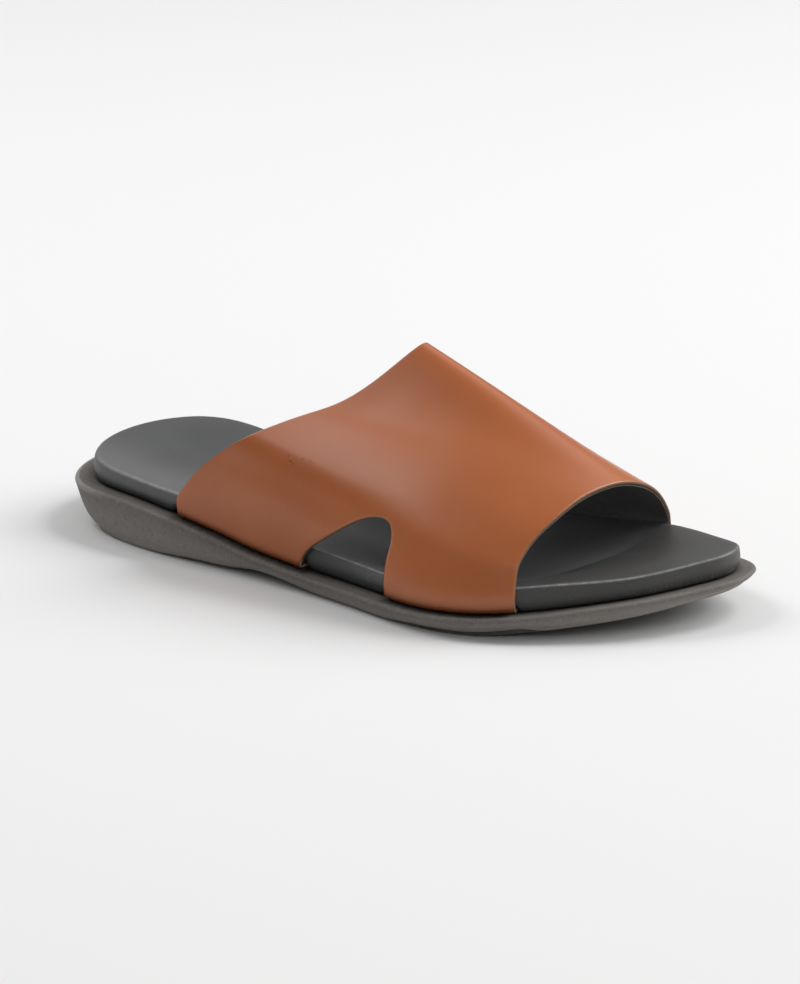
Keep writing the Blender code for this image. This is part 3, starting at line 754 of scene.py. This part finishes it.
def outsole_rubber():
    """Matte moulded taupe rubber, finely specked and mottled, with painted shade beside footbed and band and
    down the tread layer, and painted light round the heel's rim and low on the side wall.
    """
    made, shader, bsdf = new_material("outsole_rubber")
    cloud = shader.ease(shader.noise(26.0, 3.0, 0.6), 0.3, 0.7)
    speck = shader.noise(1250.0, 2.0, 0.7)
    dark_speck = shader.ease(speck, 0.42, 0.30)
    light_speck = shader.ease(speck, 0.58, 0.70)
    tone = shader.mix(cloud, (0.128, 0.117, 0.106, 1.0), (0.150, 0.138, 0.125, 1.0))
    # Painted light: the heel's rim and the wall low down towards the floor are painted paler.
    tone = shader.mix(shader.attribute("pale"), tone, (0.29, 0.272, 0.252, 1.0))
    tone = shader.mix(0.5 * dark_speck, tone, (0.065, 0.058, 0.052, 1.0))
    tone = shader.mix(0.5 * light_speck, tone, (0.27, 0.255, 0.235, 1.0))
    mottle = shader.noise(420.0, 4.0, 0.65)
    tone = shader.mix(0.14 * shader.ease(mottle, 0.52, 0.66), tone, (0.060, 0.053, 0.047, 1.0))
    tone = shader.mix(0.12 * shader.ease(mottle, 0.46, 0.34), tone, (0.30, 0.285, 0.265, 1.0))
    # Painted shade: the deck darkens beside the footbed and the band, and so does the tread layer's side.
    painted_shade = shader.attribute("painted_shade") * shader.ease(mottle, 0.35, 0.55, 0.8, 1.0)
    tone = shader.mix(painted_shade, tone, (0.012, 0.011, 0.010, 1.0))
    skin = shader.noise(700.0, 4.0, 0.65)
    dress(shader, bsdf, {
        "Base Color": tone,
        "Roughness": 0.78,
        "Normal": shader.bump(0.6 * skin + 0.4 * speck, 0.25, 0.0004),
    })
    return made


def lug_pocket(x, y):
    """How far the tread's field lies above the lugs' soles, 0 outside the fields."""
    depth = np.zeros_like(x)
    inside = edge_distance(x, y) - wall_taper(x) - GROOVE_MARGIN
    for low, high, _ in TREAD_FIELDS.values():
        ends = (low - POCKET_END, low + POCKET_OVERLAP, high - POCKET_OVERLAP, high + POCKET_END)
        depth = np.maximum(depth, reach(x, ends) * smoothstep(-POCKET_SIDE, POCKET_SIDE, inside))
    return GROOVE_DEPTH * depth


def make_outsole(rubber):
    taper = wall_taper(OUTLINE[:, 0])
    layer = column(TREAD_COLUMNS, TREAD_LAYER, "height", OUTLINE[:, 0])
    set_back = column(TREAD_COLUMNS, TREAD_LAYER, "set_back", OUTLINE[:, 0])

    def deck(x, y):
        return deck_z(x)

    def underside(x, y):
        return underside_z(x) + lug_pocket(x, y)

    def rim_row(turn):
        inset = RIM_ROUND * (1.0 - math.sin(turn))
        drop = RIM_ROUND * (1.0 - math.cos(turn))
        return ring(inset, lambda x, y: deck_z(x) - drop)

    def wall_row(share):
        """A loop of the side wall, at a share of the way from rim to the tread layer."""
        loop = ring(taper * (WALL_SLANT * share + (1.0 - WALL_SLANT) * share**WALL_TUCK), deck)
        top = deck_z(loop[:, 0]) - RIM_ROUND
        foot = underside_z(loop[:, 0]) + layer + FLOOR_ROUND
        loop[:, 2] = top + share * (foot - top)
        return loop

    def low_row(inset, rise):
        loop = ring(taper + inset, deck)
        loop[:, 2] = underside_z(loop[:, 0]) + rise
        return loop

    round_share = 1.0 - math.sqrt(0.5)
    loops = [ring(inset, deck) for inset in DECK_INSETS]
    loops += [rim_row(turn) for turn in np.linspace(0.0, 0.5 * math.pi, RIM_ARC_STEPS + 1)]
    loops += [wall_row(share) for share in np.linspace(0.0, 1.0, WALL_STEPS + 1)[1:]]
    loops += [
        low_row(FLOOR_ROUND * round_share, layer + FLOOR_ROUND * round_share),
        low_row(FLOOR_ROUND, layer),
        low_row(FLOOR_ROUND + set_back, layer),
        low_row(FLOOR_ROUND + set_back + TREAD_DRAFT / 3.0, 0.55 * layer),
        low_row(FLOOR_ROUND + set_back + TREAD_DRAFT, 0.0),
        low_row(GROOVE_MARGIN - POCKET_END, 0.0),
    ]
    points, faces = stacked_mesh(loops, DECK_LEVELS, deck, UNDERSIDE_LEVELS, underside)
    piece = new_piece("outsole_unit", points, faces, [rubber])
    plain = np.zeros(COUNT)
    # Painted light on the heel's rim and, growing towards the floor, on the side wall.
    heel = 1.0 - smoothstep(*HEEL_RIM_PAINTED_LIGHT, OUTLINE[:, 0])
    pale = [plain] * len(DECK_INSETS) + [heel] * (RIM_ARC_STEPS + 1)
    pale += [np.full(COUNT, WALL_PAINTED_LIGHT * share) for share in np.linspace(0.0, 1.0, WALL_STEPS + 1)[1:]]
    row_attribute(piece, "pale", DECK_LEVELS, [*pale, np.full(COUNT, WALL_PAINTED_LIGHT)])
    # Painted shade on the deck beside the band and the footbed, and down the tread layer's side where it is
    # tall.
    shade = under_band(*OUTLINE.T)
    tread = smoothstep(*TREAD_SHADE_HEIGHT, layer) * smoothstep(*TREAD_SHADE_SPAN, OUTLINE[:, 0])
    painted_shade = [bare + (near - bare) * shade for near, bare in zip(DECK_SHADE_BY_BAND, DECK_SHADE_ELSEWHERE)]
    painted_shade += [plain] * (len(loops) - len(DECK_INSETS) - len(TREAD_PAINTED_SHADE))
    painted_shade += [value * tread for value in TREAD_PAINTED_SHADE]
    row_attribute(piece, "painted_shade", DECK_LEVELS, painted_shade)
    piece.data.set_sharp_from_angle(angle=math.radians(SOLE_SHARP_ANGLE))
    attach(piece, BODY)
    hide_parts("outsole")


def lug_tree():
    """A bar with rounded corners swept along each line of the lugs, leaning with the sole."""
    tree = bpy.data.node_groups.new("lug_bars", "GeometryNodeTree")
    face = tree.interface
    face.new_socket("Geometry", in_out="INPUT", socket_type="NodeSocketGeometry")
    sizes = ("Lug Width", "Lug Depth", "Corner Radius")
    made = {name: face.new_socket(name, in_out="INPUT", socket_type="NodeSocketFloat") for name in sizes}
    made["Rubber"] = face.new_socket("Rubber", in_out="INPUT", socket_type="NodeSocketMaterial")
    face.new_socket("Geometry", in_out="OUTPUT", socket_type="NodeSocketGeometry")

    def node(kind, settings=None, links=None):
        added = tree.nodes.new(kind)
        for name, value in (settings or {}).items():
            setattr(added, name, value)
        for key, value in (links or {}).items():
            if hasattr(value, "is_output"):
                tree.links.new(value, added.inputs[key])
            else:
                added.inputs[key].default_value = value
        return added

    given = node("NodeGroupInput").outputs
    outline = node(
        "GeometryNodeCurvePrimitiveQuadrilateral",
        None,
        {"Width": given["Lug Width"], "Height": given["Lug Depth"]},
    )
    rounded = node(
        "GeometryNodeFilletCurve",
        {"mode": "POLY"},
        {"Curve": outline.outputs["Curve"], "Count": 3, "Radius": given["Corner Radius"]},
    )
    lines = node("GeometryNodeMeshToCurve", None, {"Mesh": given["Geometry"]})
    upright = node("GeometryNodeSetCurveNormal", {"mode": "Z_UP"}, {"Curve": lines.outputs["Curve"]})
    lean = node("GeometryNodeInputNamedAttribute", {"data_type": "FLOAT"}, {"Name": "lean"})
    leaning = node(
        "GeometryNodeSetCurveTilt",
        None,
        {"Curve": upright.outputs["Curve"], "Tilt": lean.outputs["Attribute"]},
    )
    bars = node(
        "GeometryNodeCurveToMesh",
        None,
        {"Curve": leaning.outputs["Curve"], "Profile Curve": rounded.outputs["Curve"], "Fill Caps": True},
    )
    whole = node("GeometryNodeRealizeInstances", None, {"Geometry": bars.outputs["Mesh"]})
    coated = node(
        "GeometryNodeSetMaterial",
        None,
        {"Geometry": whole.outputs["Geometry"], "Material": given["Rubber"]},
    )
    node("NodeGroupOutput", None, {"Geometry": coated.outputs["Geometry"]})
    return tree, {name: socket.identifier for name, socket in made.items()}


def make_lugs(rubber):
    """The lugs of each tread field, standing in its pocket with a groove between each two."""
    tree, sockets = lug_tree()
    for field, (low, high, pitch) in TREAD_FIELDS.items():
        points = []
        edges = []
        leans = []
        height = GROOVE_DEPTH + GAP
        for x in np.arange(low + 0.5 * pitch, high, pitch):
            margin = wall_taper(x) + GROOVE_MARGIN + LUG_END_GAP
            ends = [side_y(x, margin, side) for side in ("outer", "inner")]
            sink = LUG_SINK + LUG_SINK_MORE * smoothstep(*LUG_SINK_SPAN, x)
            slope = math.atan2(underside_z(x + 1.0) - underside_z(x - 1.0), 2.0)
            first = len(points)
            for y in np.linspace(*ends, LUG_POINTS):
                points.append((x, y, underside_z(x) + 0.5 * height + sink))
                leans.append(slope)
            edges += [(first + i, first + i + 1) for i in range(LUG_POINTS - 1)]
        mesh = bpy.data.meshes.new(f"{field}_lug_lines")
        mesh.from_pydata(to_model(points).tolist(), edges, [])
        mesh.attributes.new("lean", "FLOAT", "POINT").data.foreach_set("value", leans)
        lines = bpy.data.objects.new(f"{field}_lug_lines", mesh)
        bpy.context.scene.collection.objects.link(lines)
        bars = lines.modifiers.new("lug_bars", "NODES")
        bars.node_group = tree
        bars[sockets["Lug Width"]] = (pitch - GROOVE_WIDTH) * MM
        bars[sockets["Lug Depth"]] = height * MM
        bars[sockets["Corner Radius"]] = LUG_CORNER * MM
        bars[sockets["Rubber"]] = rubber
        made = bpy.data.meshes.new_from_object(lines.evaluated_get(bpy.context.evaluated_depsgraph_get()))
        bpy.data.objects.remove(lines)
        made.shade_smooth()
        made.set_sharp_from_angle(angle=math.radians(LUG_SHARP_ANGLE))
        piece = bpy.data.objects.new(f"{field}_lugs", made)
        bpy.context.scene.collection.objects.link(piece)
        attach(piece, BODY)


def footbed_top_z(x, y):
    """The bed's upper face: level at its edge, dished inside, with a lip rising in front of the toes."""
    middle, slant, bow = LIP_CREASE
    past = x - (middle + slant * y + bow * y * y)
    past = 0.5 * (past + np.sqrt(past * past + LIP_SOFTNESS**2))
    lip = np.clip(1.0 - past / LIP_LENGTH, 0.0, 1.0) ** LIP_EASE
    depth = steady_curve(*np.transpose(BASIN_DEPTH), x) * lip
    border = FOOTBED_INSET + edge_round(x)
    return footbed_edge_z(x, y) - depth * smoothstep(border, border + BASIN_BORDER, edge_distance(x, y))


def make_footbed(wrap):
    def under(x, y):
        return deck_z(x) + GAP

    def rebate(x, y):
        return under(x, y) + SHADOW_GAP + (REBATE_HEIGHT - SHADOW_GAP) * under_band(x, y)

    def edge_row(turn):
        drop = corner * (1.0 - math.cos(turn))
        return ring(inset + corner * (1.0 - math.sin(turn)), lambda x, y: footbed_edge_z(x, y) - drop)

    def wall_row(share):
        loop = ring(inset - FOOTBED_BULGE * math.sin(math.pi * share), rebate)
        top = footbed_edge_z(loop[:, 0], loop[:, 1]) - corner
        foot = loop[:, 2] + FOOTBED_FOOT_ROUND
        loop[:, 2] = top + share * (foot - top)
        return loop

    rim_x, rim_y = OUTLINE.T
    corner = edge_round(rim_x)
    inset = FOOTBED_INSET + HEEL_LEDGE * (1.0 - smoothstep(0.0, HEEL_LEDGE_LENGTH, rim_x))
    inset += np.where(rim_y < 0.0, BED_TUCK * reach(rim_x, BED_TUCK_SPAN), 0.0)
    rebate_width = REBATE_END_WIDTH + (REBATE_WIDTH - REBATE_END_WIDTH) * under_band(rim_x, rim_y)
    loops = [ring(inset + extra, footbed_top_z) for extra in FOOTBED_INSETS]
    loops += [edge_row(turn) for turn in np.linspace(0.0, 0.5 * math.pi, FOOTBED_ARC_STEPS + 1)]
    loops += [wall_row(share) for share in np.linspace(0.0, 1.0, FOOTBED_WALL_STEPS + 1)[1:]]
    loops += [
        ring(inset + FOOTBED_FOOT_ROUND, rebate),
        ring(inset + rebate_width, rebate),
        ring(inset + rebate_width, under),
    ]
    points, faces = stacked_mesh(loops, FOOTBED_LEVELS, footbed_top_z, FOOTBED_UNDER_LEVELS, under)
    piece = new_piece("footbed_wrapped", points, faces, [wrap])
    # Painted shade down the footbed's wall, weaker at the toe.
    shade = 1.0 - TOE_SHADE_LESS * smoothstep(*TOE_SHADE_SPAN, rim_x)
    plain = np.zeros(COUNT)
    side = [plain] * (len(FOOTBED_INSETS) + FOOTBED_ARC_STEPS - 1)
    side += [shade * value for value in WALL_SHADE]
    row_attribute(piece, "side", FOOTBED_LEVELS, side)
    # Painted highlight down the bed's rounded edge, stronger in some stretches along x.
    edge_highlight = [plain] * len(FOOTBED_INSETS)
    edge_highlight += [value * steady_curve(*np.transpose(HIGHLIGHT_ALONG), rim_x) for value in EDGE_PAINTED_HIGHLIGHT]
    row_attribute(piece, "edge_highlight", FOOTBED_LEVELS, edge_highlight)
    piece.data.set_sharp_from_angle(angle=math.radians(SOLE_SHARP_ANGLE))
    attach(piece, BODY)
    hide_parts("footbed")


def band_controls(along):
    """The points that shape the band's outer face, from the outer margin over the crest to the inner one.

    Each row holds one point for every value of along, which runs from the rear edge to the front edge.
    """

    def foot(side):
        rear, front = BAND_FOOT[side]
        rows = []
        bend_inset = outside + MARGIN_BEND
        section = [(bend_inset + MARGIN_WIDTH - MARGIN_BEND, 0.0)]
        for turn in np.linspace(0.0, 0.5 * math.pi, BEND_STEPS + 1):
            section.append((bend_inset - MARGIN_BEND * math.sin(turn), MARGIN_BEND * (1.0 - math.cos(turn))))
        for inset, rise in section:
            pull = MARGIN_PULL * (inset - outside)
            x = rear + (front - rear - pull) * along
            rows.append(np.column_stack([x, side_y(x, inset, side), deck_z(x) + GAP + rise]))
        return rows

    def run(side, rear, front, follow, bow, crown):
        t = along[:, None]
        line = np.array(rear) * (1.0 - t) + np.array(front) * t
        edge = side_y(line[:, 0], outside, side)
        line[:, 1] += follow * (edge - edge[0] * (1.0 - along) - edge[-1] * along)
        line[:, 1:] += 4.0 * t * (1.0 - t) * (bow, crown)
        return line

    outside = FOOTBED_INSET - GAP - BAND_WALL_THICKNESS
    runs = np.array([run(*row) for row in BAND_RUNS])
    relief = smooth_spline(np.array(RELIEF_SHARES), np.transpose(RELIEF), along).T
    runs[: len(RELIEF)] += relief[:, :, None] * np.array(RELIEF_WAY)
    return np.array([*foot("outer"), *runs, *foot("inner")[::-1]])


def band_grid(steps_along, steps_across):
    """The band's outer face as a grid of points, across by along, with its outward normals."""
    inner_along = np.linspace(EDGE_ROWS[-1], 1.0 - EDGE_ROWS[-1], steps_along + 1)
    along = np.concatenate([EDGE_ROWS[:-1], inner_along, 1.0 - np.array(EDGE_ROWS[:-1])[::-1]])
    controls = band_controls(along)
    chords = np.linalg.norm(np.diff(controls, axis=0), axis=2).mean(axis=1)
    knots = np.concatenate([[0.0], np.cumsum(chords)])
    across = np.linspace(0.0, knots[-1], steps_across + 1)
    points = smooth_spline(knots, controls, across)
    normals = np.cross(np.gradient(points, along, axis=1), np.gradient(points, across, axis=0))
    normals /= np.linalg.norm(normals, axis=2)[:, :, None]
    crest = np.unravel_index(points[:, :, 2].argmax(), points.shape[:2])
    return points, normals * np.sign(normals[crest][2])


def notch_outline(side):
    rows = np.array(NOTCHES[side])
    knots = chord_knots(rows)
    path = smooth_spline(knots, rows, np.linspace(0.0, knots[-1], NOTCH_STEPS * len(rows)))
    (first_x, first_z), (last_x, last_z) = path[0], path[-1]
    return np.array([(first_x, first_z - NOTCH_DROP), *path, (last_x, last_z - NOTCH_DROP)])


def depth_inside(outline, spots):
    """How far each x, z spot lies inside a closed outline; below 0 outside it."""
    distance = distance_to(outline, spots)
    start = outline[None, :, :]
    end = np.roll(outline, -1, axis=0)[None, :, :]
    along = end - start
    spots = spots[:, None, :]
    spans = (start[:, :, 1] > spots[:, :, 1]) != (end[:, :, 1] > spots[:, :, 1])
    rise = np.where(spans, end[:, :, 1] - start[:, :, 1], 1.0)
    cross_x = start[:, :, 0] + (spots[:, :, 1] - start[:, :, 1]) / rise * along[:, :, 0]
    inside = np.sum(spans & (spots[:, :, 0] < cross_x), axis=1) % 2 == 1
    return np.where(inside, distance, -distance)


def trim(points, normals, depth):
    """Faces of the grid outside the cut-outs; corners next to a cut-out are moved onto its line.

    depth is above 0 inside a cut-out. points and normals are changed in place.
    """
    rows, columns = depth.shape
    nearest = np.full(depth.shape, np.inf)
    target = points.copy()
    target_normal = normals.copy()
    for down, right in ((1, 0), (0, 1)):
        a = (slice(0, rows - down), slice(0, columns - right))
        b = (slice(down, rows), slice(right, columns))
        crossing = (depth[a] > 0.0) != (depth[b] > 0.0)
        share = np.where(crossing, depth[a] / np.where(crossing, depth[a] - depth[b], 1.0), 0.0)
        spot = points[a] + share[:, :, None] * (points[b] - points[a])
        spot_normal = normals[a] + share[:, :, None] * (normals[b] - normals[a])
        for end, far in ((a, share), (b, 1.0 - share)):
            better = crossing & (far <= 0.5) & (far < nearest[end])
            nearest[end] = np.where(better, far, nearest[end])
            target[end] = np.where(better[:, :, None], spot, target[end])
            target_normal[end] = np.where(better[:, :, None], spot_normal, target_normal[end])
    on_line = np.isfinite(nearest)
    points[:] = target
    normals[:] = target_normal / np.linalg.norm(target_normal, axis=2)[:, :, None]
    inside = (depth > 0.0) & ~on_line
    outside = (depth <= 0.0) & ~on_line
    faces = []
    for i in range(rows - 1):
        for j in range(columns - 1):
            corners = ((i, j), (i, j + 1), (i + 1, j + 1), (i + 1, j))
            if any(inside[c] for c in corners):
                if any(outside[c] for c in corners):
                    corners = tuple(c for c in corners if not inside[c])
                else:
                    continue
            elif all(on_line[c] for c in corners) and np.mean([depth[c] for c in corners]) > 0.0:
                continue
            faces.append([r * columns + c for r, c in corners])
    return faces


def free_edges(faces):
    """The sheet's free edges, each as two points in the order of its face."""
    count = {}
    for face in faces:
        for k, a in enumerate(face):
            b = face[(k + 1) % len(face)]
            count[(a, b)] = count.get((a, b), 0) + 1
    return [(a, b) for a, b in count if (b, a) not in count]


def shell(points, normals, faces, top, bottom, roll):
    """A closed shell between two depths under a sheet, with a rounded cut edge.

    Gives points, faces and, for each face, 0 for the outer face, 1 for the cut edge and 2 for the inner face.
    """
    points = points.reshape(-1, 3)
    normals = normals.reshape(-1, 3)
    used = np.unique(np.concatenate([np.array(face) for face in faces]))
    index = np.full(len(points), -1)
    index[used] = np.arange(len(used))
    flat = points[used]
    up = normals[used]
    edges = [(index[a], index[b]) for a, b in free_edges(faces)]
    outward = np.zeros_like(flat)
    for a, b in edges:
        side = np.cross(flat[b] - flat[a], up[a] + up[b])
        outward[a] += side
        outward[b] += side
    length = np.linalg.norm(outward, axis=1)
    rim = np.nonzero(length > 0.0)[0]
    outward[rim] /= length[rim][:, None]
    dip = np.zeros(len(flat))
    dip[rim] = roll
    over = flat - up * (top + dip)[:, None]
    under = flat - up * (bottom - dip)[:, None]
    count = len(flat)
    made = [over, under]
    rim_index = np.full(count, -1)
    rim_index[rim] = np.arange(len(rim))
    rows = [np.arange(count)]
    for step in range(1, EDGE_STEPS):
        share = step / EDGE_STEPS
        bulge = EDGE_BULGE * math.sin(math.pi * share)
        row = over[rim] + share * (under[rim] - over[rim]) + bulge * outward[rim]
        rows.append(2 * count + (step - 1) * len(rim) + rim_index)
        made.append(row)
    rows.append(count + np.arange(count))
    new_faces = [[int(index[c]) for c in face] for face in faces]
    kinds = [0] * len(faces)
    new_faces += [[count + int(index[c]) for c in face[::-1]] for face in faces]
    kinds += [2] * len(faces)
    for a, b in edges:
        for first, second in zip(rows[:-1], rows[1:]):
            new_faces.append([int(first[b]), int(first[a]), int(second[a]), int(second[b])])
            kinds.append(1)
    return np.vstack(made), new_faces, kinds


def notch_depths(points):
    """How deep each point of the grid lies inside the notch of its side."""
    rows = points.shape[0]
    half = rows // 2
    depth = np.empty(points.shape[:2])
    for side, part in (("outer", slice(0, half)), ("inner", slice(half, rows))):
        spots = points[part][:, :, (0, 2)]
        depth[part] = depth_inside(notch_outline(side), spots.reshape(-1, 2)).reshape(spots.shape[:2])
    return depth


def band_layer(name, steps, top, bottom, roll, materials):
    """One layer of the band between two depths under its outer face, with the points it was made from."""
    points, normals = band_grid(*steps)
    faces = trim(points, normals, notch_depths(points))
    points, faces, kinds = shell(points, normals, faces, top, bottom, roll)
    piece = new_piece(name, points, faces, materials, kinds)
    piece.data.set_sharp_from_angle(angle=math.radians(BAND_SHARP_ANGLE))
    return piece, points


def make_band(leather, edge, back):
    piece, points = band_layer("band", BAND_STEPS, 0.0, LEATHER, EDGE_ROLL, [leather, edge, back])
    # The foot value fades from 1 at the deck to 0 higher up; the leather takes painted shade from it.
    height = points[:, 2] - deck_z(points[:, 0])
    foot = piece.data.attributes.new("foot", "FLOAT", "POINT")
    foot.data.foreach_set("value", 1.0 - smoothstep(*FOOT_PAINTED_SHADE, height))
    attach(piece, BODY)
    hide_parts("upper")


def make_lining(lining, edge, back):
    outer = LEATHER + LINING_GAP
    piece, _ = band_layer("band_lining", LINING_STEPS, outer, BAND_WALL_THICKNESS, 0.0, [back, edge, lining])
    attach(piece, BODY)


def make_floor():
    made, shader, bsdf = new_material("floor_paper")
    dress(shader, bsdf, {
        "Base Color": (0.74, 0.74, 0.74, 1.0),
        "Roughness": 0.9,
        "Specular IOR Level": 0.1,
    })
    bm = bmesh.new()
    bmesh.ops.create_circle(bm, cap_ends=True, segments=96, radius=FLOOR_RADIUS)
    mesh = bpy.data.meshes.new("floor")
    bm.to_mesh(mesh)
    bm.free()
    mesh.materials.append(made)
    floor = bpy.data.objects.new("floor", mesh)
    bpy.context.scene.collection.objects.link(floor)


def softbox(name, place, aim, size, power):
    lamp = bpy.data.lights.new(name, "AREA")
    lamp.shape = "RECTANGLE"
    lamp.size, lamp.size_y = size
    lamp.energy = power
    holder = bpy.data.objects.new(name, lamp)
    holder.location = place
    holder.rotation_euler = (Vector(aim) - Vector(place)).to_track_quat("-Z", "Y").to_euler()
    bpy.context.scene.collection.objects.link(holder)


def light_studio():
    """A dim pale room, brighter high up behind the shoe, with four softboxes."""
    world = bpy.data.worlds.new("studio")
    bpy.context.scene.world = world
    world.use_nodes = True
    shader = Shader(world.node_tree)
    way = shader.node("ShaderNodeTexCoord", output="Generated")
    behind, height = shader.parts(way, "YZ")
    lit = shader.ease(behind, *BEHIND_SPAN) * shader.ease(height, *BEHIND_HEIGHT_SPAN)
    sky = world.node_tree.nodes["Background"]
    shader.feed(sky.inputs["Strength"], ROOM_LIGHT + ROOM_LIGHT_BEHIND * lit)
    sky.inputs["Color"].default_value = (1.0, 1.0, 1.0, 1.0)
    for name, setting in SOFTBOXES.items():
        softbox(name, *setting)


def place_camera():
    """The camera looks down on the shoe's outer side from in front of the toe."""
    azimuth = math.radians(CAMERA_AZIMUTH)
    elevation = math.radians(CAMERA_ELEVATION)
    back = Vector((
        math.sin(azimuth) * math.cos(elevation),
        -math.cos(azimuth) * math.cos(elevation),
        math.sin(elevation),
    ))
    lens = bpy.data.cameras.new("camera")
    lens.sensor_width = SENSOR
    lens.lens = SENSOR * PIXELS_PER_METRE * CAMERA_DISTANCE / max(PICTURE)
    lens.clip_end = 4.0 * FLOOR_RADIUS
    camera = bpy.data.objects.new("camera", lens)
    turn = (-back).to_track_quat("-Z", "Y").to_matrix().to_4x4()
    roll = Matrix.Rotation(math.radians(CAMERA_ROLL), 4, "Z")
    camera.matrix_world = Matrix.Translation(CAMERA_AIM + back * CAMERA_DISTANCE) @ turn @ roll
    bpy.context.scene.collection.objects.link(camera)
    bpy.context.scene.camera = camera
    bpy.context.scene.view_settings.view_transform = "Standard"


def main():
    place_camera()
    light_studio()
    make_floor()
    rubber = outsole_rubber()
    make_outsole(rubber)
    make_lugs(rubber)
    make_footbed(footbed_wrap())
    back = flesh_side()
    make_band(band_leather(), cut_edge(), back)
    make_lining(lining_face(), lining_edge(), back)


main()
